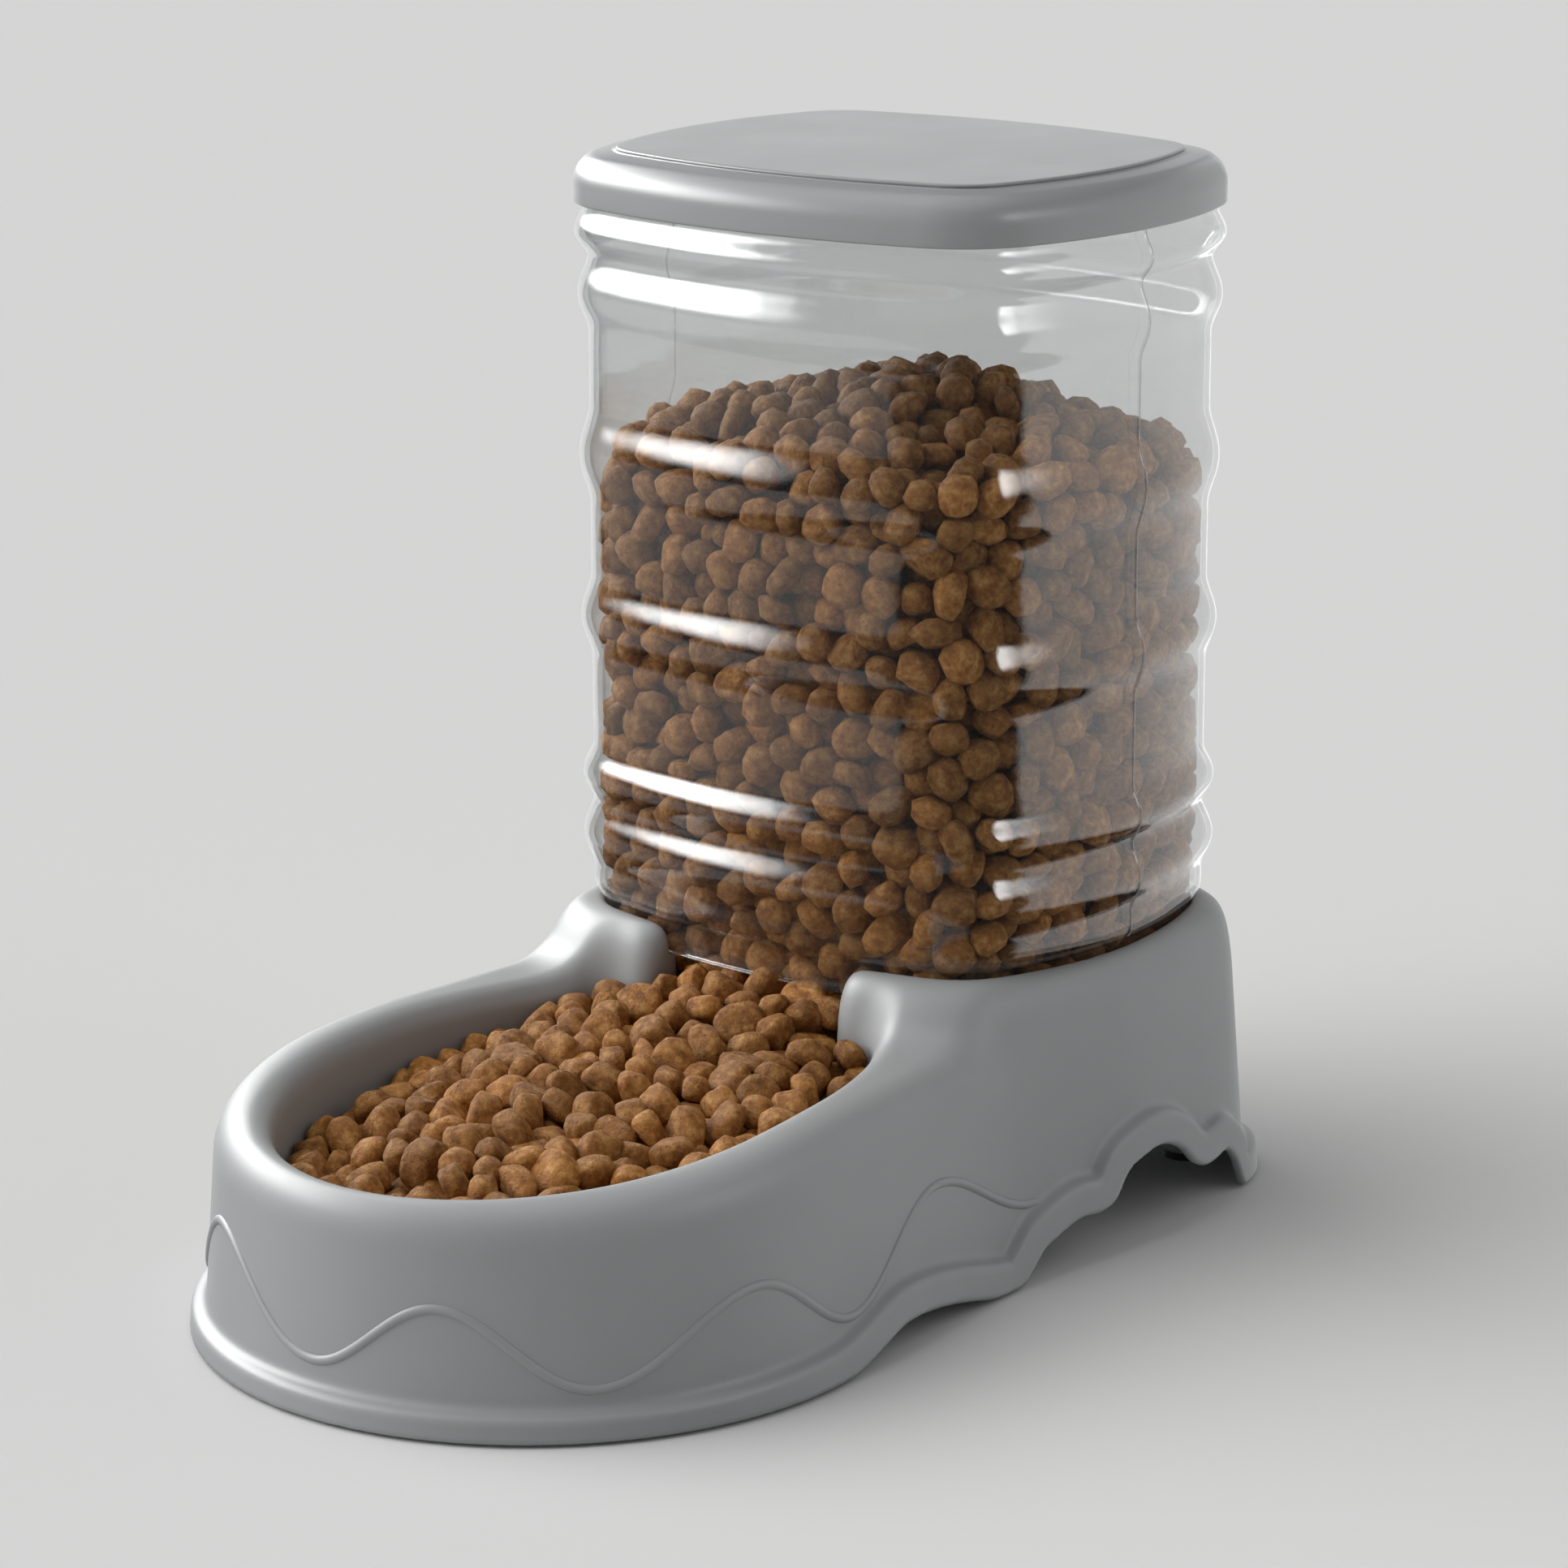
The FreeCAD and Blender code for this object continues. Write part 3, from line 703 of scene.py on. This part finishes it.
def settle(centres, radius, room):
    """Pushes pellets apart and back into their room, which returns how far outside a point is."""
    for _ in range(SETTLE_ROUNDS):
        for start in range(0, len(centres), 500):
            block = centres[start:start + 500]
            gap = block[:, None, :] - centres[None, :, :]
            distance = np.sqrt((gap ** 2).sum(2)) + 1e-6
            need = radius[start:start + 500, None] + radius[None, :]
            push = np.where(distance < need, (need - distance) / distance, 0.0)
            push[np.arange(len(block)), start + np.arange(len(block))] = 0.0
            centres[start:start + 500] += 0.28 * (push[:, :, None] * gap).sum(1)
        centres[:, 2] -= 0.06
        step = 0.4
        for _ in range(2):
            outside = room(centres, radius)
            slope = np.empty_like(centres)
            for axis in range(3):
                moved = centres.copy()
                moved[:, axis] += step
                slope[:, axis] = (room(moved, radius) - outside) / step
            size = np.maximum(np.linalg.norm(slope, axis=1), 0.3)
            centres -= slope * (np.maximum(outside, 0.0) / size ** 2)[:, None]
    return centres


def hopper_wall(x, y, z):
    """How far past the inside of the hopper's wall a point is, leaving out the ribs."""
    wall = panel_distance(x, y) + HOPPER_WALL
    return wall - HEEL_OFFSET * smooth_step(HEEL_TOP_Z + HEEL_FLARE + 1.5, HEEL_TOP_Z, z)


def push_inside(points, past):
    """Moves points that are past a wall back to it, so that no pellet pokes through."""
    x, y, z = points.T
    beyond = past(x, y, z)
    slope_x = (past(x + 0.1, y, z) - beyond) / 0.1
    slope_y = (past(x, y + 0.1, z) - beyond) / 0.1
    over = np.maximum(beyond + 0.3, 0.0)
    points[:, 0] -= over * slope_x
    points[:, 1] -= over * slope_y
    return points


def hopper_room(centres, radius):
    """How far outside the hopper's food a pellet is. The hidden middle of the food is left empty."""
    x, y, z = centres.T
    wall = hopper_wall(x, y, z) + radius * 0.95
    core = FOOD_SHELL[0] - np.abs(panel_distance(x, y))
    deep = np.minimum(-core, heap_height(x, y) - FOOD_SHELL[1] - z)
    return np.maximum(np.maximum(wall, z + 0.6 * radius - heap_height(x, y)),
                      np.maximum(food_low(y) + 0.7 * radius - z, deep))


def heap_height(x, y):
    """Top of the food in the hopper: a heap with its peak behind the middle, lower by the walls."""
    away = np.hypot((x - 6.0) / 76.0, (y - HOPPER_Y - 4.0) / 64.0)
    uneven = 2.0 * np.sin(x / 17.0) * np.cos(y / 13.0)
    return HEAP_PEAK_Z - 20.0 * away ** 1.3 - 0.06 * (y - HOPPER_Y) + uneven


def food_low(y):
    return np.maximum(chute_floor(y), FOOD_LOW_Z)


def bowl_heap(x, y):
    """Top of the food in the bowl: it slopes from the outlet down towards the front."""
    along = np.interp(y, [-150.0, -110.0, -60.0, -20.0, 8.0, 30.0], [45.0, 50.0, 58.0, 63.0, 68.0, 74.0])
    return along - 9.0 * (x / 62.0) ** 2 + 1.2 * np.sin(x / 11.0 + 1.0) * np.cos(y / 14.0)


def bowl_wall(x, y, z):
    """How far past the bowl's wall a point is, leaving out the round foot of the wall."""
    return food_distance(np.abs(x), y, np.maximum(z, FLOOR_Z + 14.0))


def bowl_room(centres, radius):
    """How far outside the bowl's food a pellet is."""
    x, y, z = centres.T
    inside = food_distance(np.abs(x), y, z) + 0.8 * radius
    high = z + 0.5 * radius - bowl_heap(x, y)
    low = bowl_heap(x, y) - BOWL_FOOD_DEPTH - z
    rear = y - BOWL_FOOD_REAR_Y
    return np.maximum(np.maximum(inside, high), np.maximum(low, rear))


def scatter(draw, low, high, room, spacing):
    """A jittered lattice of pellet places inside a room."""
    axes = [np.arange(low[i], high[i], spacing * (1.0, 0.87, 0.82)[i]) for i in range(3)]
    x, y, z = np.meshgrid(*axes, indexing="ij")
    layer = np.arange(len(axes[2]))[None, None, :]
    row = np.arange(len(axes[1]))[None, :, None]
    x = x + 0.5 * spacing * ((row + layer) % 2)
    y = y + 0.3 * spacing * (layer % 2)
    places = np.stack([x, y, z], -1).reshape(-1, 3)
    places += draw.normal(scale=0.18 * spacing, size=places.shape)
    return places[room(places, np.full(len(places), 0.45 * spacing)) < 2.0]


def food_piece(name, draw, centres, radius, past, level, body, material):
    """One mesh of pellets, each with its own tone, turn and one of 24 shapes."""
    kinds = [pellet(draw, level) for _ in range(24)]
    vertices, faces, tones = [], [], []
    total = 0
    for centre, r in zip(centres, radius):
        shape, triangles = kinds[draw.integers(len(kinds))]
        vertices.append(centre + (shape * PELLET_SIZE * r) @ turned(draw).T)
        faces.append(triangles + total)
        tones.append(np.full(len(shape), draw.random()))
        total += len(shape)
    piece = new_mesh(name, push_inside(np.concatenate(vertices), past), np.concatenate(faces))
    tone = piece.data.attributes.new("tone", "FLOAT", "POINT")
    tone.data.foreach_set("value", np.concatenate(tones).astype(np.float32))
    piece.data.materials.append(material)
    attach(piece, body)
    return piece


def make_food(material):
    draw = np.random.default_rng(41)
    low = [-82.0, HOPPER_Y - 72.0, 58.0]
    high = [82.0, HOPPER_Y + 72.0, 238.0]
    places = scatter(draw, low, high, hopper_room, 10.2)
    radius = draw.uniform(4.6, 5.9, len(places))
    places = settle(places, radius, hopper_room)
    bands = ((0.0, 120.0, "food_hopper_low"), (120.0, 170.0, "food_hopper_middle"),
             (170.0, 300.0, "food_hopper_top"))
    for bottom, top, name in bands:
        chosen = (places[:, 2] >= bottom) & (places[:, 2] < top)
        food_piece(name, draw, places[chosen], radius[chosen], hopper_wall, 2, "hopper", material)
    low = [-70.0, BOWL_Y - 80.0, 8.0]
    high = [70.0, 34.0, 80.0]
    places = scatter(draw, low, high, bowl_room, 9.9)
    radius = draw.uniform(4.5, 5.8, len(places))
    places = settle(places, radius, bowl_room)
    food_piece("food_bowl", draw, places, radius, bowl_wall, 3, "base", material)


# ---- Materials -----------------------------------------------------------------------------------
def add(tree, kind, links=(), **settings):
    """Adds a node, sets its properties and input values, and links outputs to its inputs."""
    node = tree.nodes.new(kind)
    for name, value in settings.items():
        if name in node.bl_rna.properties:
            setattr(node, name, value)
        else:
            node.inputs[name.replace("_", " ")].default_value = value
    for source, socket in links:
        tree.links.new(source, node.inputs[socket])
    return node


def new_material(name):
    material = bpy.data.materials.new(name)
    material.use_nodes = True
    tree = material.node_tree
    tree.nodes.clear()
    return material, tree


def finish_material(tree, shader):
    add(tree, "ShaderNodeOutputMaterial", [(shader, "Surface")])


def satin_polypropylene(name, main, deep, roughness):
    """Injection-moulded polypropylene: soft broad highlights, and a faint mottle of its pigment.
    main and deep are the mottle's two colours."""
    material, tree = new_material(name)
    place = add(tree, "ShaderNodeTexCoord").outputs["Object"]
    cloud = add(tree, "ShaderNodeTexNoise", [(place, "Vector")], Scale=1.0 / 0.030, Detail=3.0)
    grain = add(tree, "ShaderNodeTexNoise", [(place, "Vector")], Scale=1.0 / 0.0009, Detail=2.0)
    tint = add(tree, "ShaderNodeMix", [(cloud.outputs["Fac"], "Factor")], data_type="RGBA")
    tint.inputs["A"].default_value = colour(main)
    tint.inputs["B"].default_value = colour(deep)
    shine = add(tree, "ShaderNodeMapRange", [(cloud.outputs["Fac"], "Value")], To_Min=roughness,
                To_Max=roughness + 0.08)
    relief = add(tree, "ShaderNodeBump", [(grain.outputs["Fac"], "Height")], Strength=0.05, Distance=0.0002)
    plastic = add(tree, "ShaderNodeBsdfPrincipled", [
        (tint.outputs["Result"], "Base Color"), (shine.outputs["Result"], "Roughness"),
        (relief.outputs["Normal"], "Normal")], IOR=1.49)
    finish_material(tree, plastic.outputs["BSDF"])
    return material


def clear_pet():
    """Blow-moulded PET: clear with a faint haze, so what is inside looks a little greyed. The parting
    line where the mould's halves met is whiter."""
    material, tree = new_material("clear_blow_moulded_pet")
    facing = add(tree, "ShaderNodeLayerWeight", Blend=0.5).outputs["Facing"]
    power = add(tree, "ShaderNodeMath", [(facing, 0)], operation="POWER")
    power.inputs[1].default_value = 4.0
    share = add(tree, "ShaderNodeMapRange", [(power.outputs[0], "Value")], To_Min=0.08, To_Max=0.9)
    place = add(tree, "ShaderNodeTexCoord").outputs["Object"]
    ripple = add(tree, "ShaderNodeTexNoise", [(place, "Vector")], Scale=1.0 / 0.014, Detail=2.0)
    wave = add(tree, "ShaderNodeBump", [(ripple.outputs["Fac"], "Height")], Strength=0.18, Distance=0.001)
    clear = add(tree, "ShaderNodeBsdfTransparent", Color=colour("F9FAFA"))
    mirror = add(tree, "ShaderNodeBsdfGlossy", [(wave.outputs["Normal"], "Normal")], Roughness=0.07)
    wall = add(tree, "ShaderNodeMixShader", [
        (share.outputs["Result"], 0), (clear.outputs["BSDF"], 1), (mirror.outputs["BSDF"], 2)])
    haze = add(tree, "ShaderNodeBsdfDiffuse", Color=colour("C9CFD2"))
    seam = add(tree, "ShaderNodeAttribute", attribute_name="seam").outputs["Fac"]
    cloudy = add(tree, "ShaderNodeMapRange", [(seam, "Value")], To_Min=0.012, To_Max=0.45)
    hazy = add(tree, "ShaderNodeMixShader", [
        (cloudy.outputs["Result"], 0), (wall.outputs["Shader"], 1), (haze.outputs["BSDF"], 2)])
    finish_material(tree, hazy.outputs["Shader"])
    return material


def baked_kibble():
    """Extruded, dried kibble: a dry porous crust, browner where it baked more, with painted shade darkening
    its pits.
    """
    material, tree = new_material("baked_kibble")
    place = add(tree, "ShaderNodeTexCoord").outputs["Object"]
    tone = add(tree, "ShaderNodeAttribute", attribute_name="tone").outputs["Fac"]
    crust = add(tree, "ShaderNodeTexNoise", [(place, "Vector")], Scale=1.0 / 0.0030, Detail=5.0,
                Roughness=0.65)
    crumb = add(tree, "ShaderNodeTexNoise", [(place, "Vector")], Scale=1.0 / 0.0017, Detail=5.0,
                Roughness=0.75)
    pores = add(tree, "ShaderNodeTexVoronoi", [(place, "Vector")], Scale=1.0 / 0.0022)
    ramp = add(tree, "ShaderNodeValToRGB", [(crust.outputs["Fac"], "Fac")])
    stops = ramp.color_ramp.elements
    stops[0].position, stops[0].color = 0.34, colour("8E5A2A")
    stops[1].position, stops[1].color = 0.68, colour("D9A462")
    middle = stops.new(0.5)
    middle.color = colour("B57A3C")
    shade = add(tree, "ShaderNodeMapRange", [(tone, "Value")], To_Min=0.74, To_Max=1.2)
    # Pits are dents in the bump, and their colour is darkened down to half by painted shade.
    pit_dent_and_shade = add(tree, "ShaderNodeMapRange", [(pores.outputs["Distance"], "Value")], From_Max=0.22, To_Min=0.5,
               To_Max=1.0)
    dim = add(tree, "ShaderNodeMath", [(shade.outputs["Result"], 0), (pit_dent_and_shade.outputs["Result"], 1)],
              operation="MULTIPLY")
    both = add(tree, "ShaderNodeVectorMath", [(ramp.outputs["Color"], 0), (dim.outputs[0], "Scale")],
               operation="SCALE")
    rough = add(tree, "ShaderNodeMath", [(crumb.outputs["Fac"], 0), (pit_dent_and_shade.outputs["Result"], 1)],
                operation="MULTIPLY")
    relief = add(tree, "ShaderNodeBump", [(rough.outputs[0], "Height")], Strength=1.0, Distance=0.0013)
    food = add(tree, "ShaderNodeBsdfPrincipled", [
        (both.outputs["Vector"], "Base Color"), (relief.outputs["Normal"], "Normal")], Roughness=0.7,
        IOR=1.45, Specular_IOR_Level=0.2)
    finish_material(tree, food.outputs["BSDF"])
    return material


def pad_rubber():
    """Moulded rubber: matt and dark, with a fine grain from its mould."""
    material, tree = new_material("moulded_rubber")
    place = add(tree, "ShaderNodeTexCoord").outputs["Object"]
    grain = add(tree, "ShaderNodeTexNoise", [(place, "Vector")], Scale=1.0 / 0.0006)
    tint = add(tree, "ShaderNodeMix", [(grain.outputs["Fac"], "Factor")], data_type="RGBA")
    tint.inputs["A"].default_value = colour("2B2C2E")
    tint.inputs["B"].default_value = colour("3A3B3D")
    relief = add(tree, "ShaderNodeBump", [(grain.outputs["Fac"], "Height")], Strength=0.3, Distance=0.0002)
    rubber = add(tree, "ShaderNodeBsdfPrincipled", [
        (tint.outputs["Result"], "Base Color"), (relief.outputs["Normal"], "Normal")], Roughness=0.8,
        IOR=1.52)
    finish_material(tree, rubber.outputs["BSDF"])
    return material


def studio_floor():
    """Matt white studio paper, seamless under the object."""
    material, tree = new_material("studio_paper")
    paper = add(tree, "ShaderNodeBsdfPrincipled", Base_Color=colour("E6E6E5"), Roughness=0.9,
                Specular_IOR_Level=0.0)
    finish_material(tree, paper.outputs["BSDF"])
    return material


# ---- Studio --------------------------------------------------------------------------------------
def make_camera():
    azimuth, elevation, roll = (math.radians(a) for a in CAMERA_TURN)
    right = Vector((math.cos(azimuth), math.sin(azimuth), 0.0))
    back = Vector((math.sin(azimuth) * math.cos(elevation), -math.cos(azimuth) * math.cos(elevation),
                   math.sin(elevation)))
    up = back.cross(right)
    right, up = (right * math.cos(roll) + up * math.sin(roll),
                 up * math.cos(roll) - right * math.sin(roll))
    data = bpy.data.cameras.new("camera")
    data.lens = CAMERA_LENS
    data.sensor_width = 36.0
    data.clip_end = 100.0
    camera = bpy.data.objects.new("camera", data)
    place = Vector(CAMERA_PLACE) * MM
    camera.matrix_world = Matrix.Translation(place) @ Matrix((right, up, back)).transposed().to_4x4()
    bpy.context.scene.collection.objects.link(camera)
    bpy.context.scene.camera = camera


def soft_card(name, place, target, size, power, fade=0.0):
    """A soft box that only gives highlights. fade is the share of its width over which it dims to
    nothing, and its upper and lower edges dim too."""
    data = bpy.data.lights.new(name, "AREA")
    data.shape = "RECTANGLE"
    data.size, data.size_y = size
    data.energy = power
    if fade:
        data.use_nodes = True
        tree = data.node_tree
        place_on = add(tree, "ShaderNodeNewGeometry").outputs["Parametric"]
        split = add(tree, "ShaderNodeSeparateXYZ", [(place_on, 0)])
        ends = add(tree, "ShaderNodeMapRange", [(split.outputs[0], "Value")],
                   interpolation_type="SMOOTHSTEP", From_Min=1.0, From_Max=1.0 - fade)
        rise = add(tree, "ShaderNodeMapRange", [(split.outputs[1], "Value")],
                   interpolation_type="SMOOTHSTEP", From_Max=0.35)
        fall = add(tree, "ShaderNodeMapRange", [(split.outputs[1], "Value")],
                   interpolation_type="SMOOTHSTEP", From_Min=1.0, From_Max=0.65)
        both = add(tree, "ShaderNodeMath", [(rise.outputs[0], 0), (fall.outputs[0], 1)],
                   operation="MULTIPLY")
        glow = add(tree, "ShaderNodeMath", [(both.outputs[0], 0), (ends.outputs[0], 1)],
                   operation="MULTIPLY")
        tree.links.new(glow.outputs[0], tree.nodes["Emission"].inputs["Strength"])
    lamp = bpy.data.objects.new(name, data)
    lamp.location = place
    lamp.rotation_euler = (Vector(target) - Vector(place)).to_track_quat("-Z", "Y").to_euler()
    lamp.visible_camera = False
    lamp.visible_diffuse = False
    bpy.context.scene.collection.objects.link(lamp)


def sun_light(name, towards, strength, spread):
    """Even soft light over the whole floor, from far away."""
    data = bpy.data.lights.new(name, "SUN")
    data.energy = strength
    data.angle = math.radians(spread)
    lamp = bpy.data.objects.new(name, data)
    lamp.rotation_euler = Vector(towards).to_track_quat("-Z", "Y").to_euler()
    lamp.visible_glossy = False
    bpy.context.scene.collection.objects.link(lamp)


def make_studio():
    bpy.ops.mesh.primitive_circle_add(vertices=96, radius=30.0, fill_type="NGON")
    floor = bpy.context.object
    floor.name = "studio_floor"
    floor.data.materials.append(studio_floor())
    floor.visible_glossy = False
    world = bpy.data.worlds.new("studio")
    bpy.context.scene.world = world
    world.use_nodes = True
    shade = world.node_tree.nodes["Background"]
    shade.inputs["Color"].default_value = colour("F2F3F4")
    shade.inputs["Strength"].default_value = 0.27
    world.cycles_visibility.glossy = False
    sun_light("window_side", (0.57, 0.33, -0.76), 1.68, 68.0)
    sun_light("window_low", (0.76, 0.60, -0.24), 1.45, 65.0)
    sun_light("room_side", (-0.70, -0.55, -0.45), 0.45, 70.0)
    soft_card("left_softbox", (-1.15, -0.55, 0.80), (0.10, -0.36, 0.42), (2.6, 0.9), 150.0, fade=0.68)
    soft_card("right_softbox", (1.25, 0.30, 0.75), (0.0, 0.0, 0.2), (0.9, 0.7), 11.0, fade=0.95)
    soft_card("rear_wall", (0.48, 0.94, 0.15), (0.0, 0.08, 0.15), (2.05, 1.5), 9.0)
    soft_card("front_table", (-0.75, -0.75, -0.15), (0.0, 0.0, 0.15), (1.5, 0.7), 1.2)
    soft_card("left_wall", (-0.95, 0.95, 0.10), (0.0, 0.0, 0.15), (1.7, 1.3), 7.4)
    soft_card("ceiling", (0.0, 0.1, 1.9), (0.0, 0.1, 0.3), (2.0, 2.0), 9.0)
    bpy.context.scene.view_settings.view_transform = "Standard"


def main():
    make_camera()
    make_studio()
    plastic = satin_polypropylene("blue_grey_polypropylene", "9FA1A2", "999B9C", 0.46)
    lid_plastic = satin_polypropylene("polished_polypropylene", "A0A2A3", "9A9C9D", 0.28)
    make_base(plastic)
    make_hopper(clear_pet())
    make_lid(lid_plastic)
    rubber = pad_rubber()
    for name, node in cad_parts.items():
        if name.startswith("foot_pad"):
            node.data.materials.clear()
            node.data.materials.append(rubber)
    make_food(baked_kibble())


main()
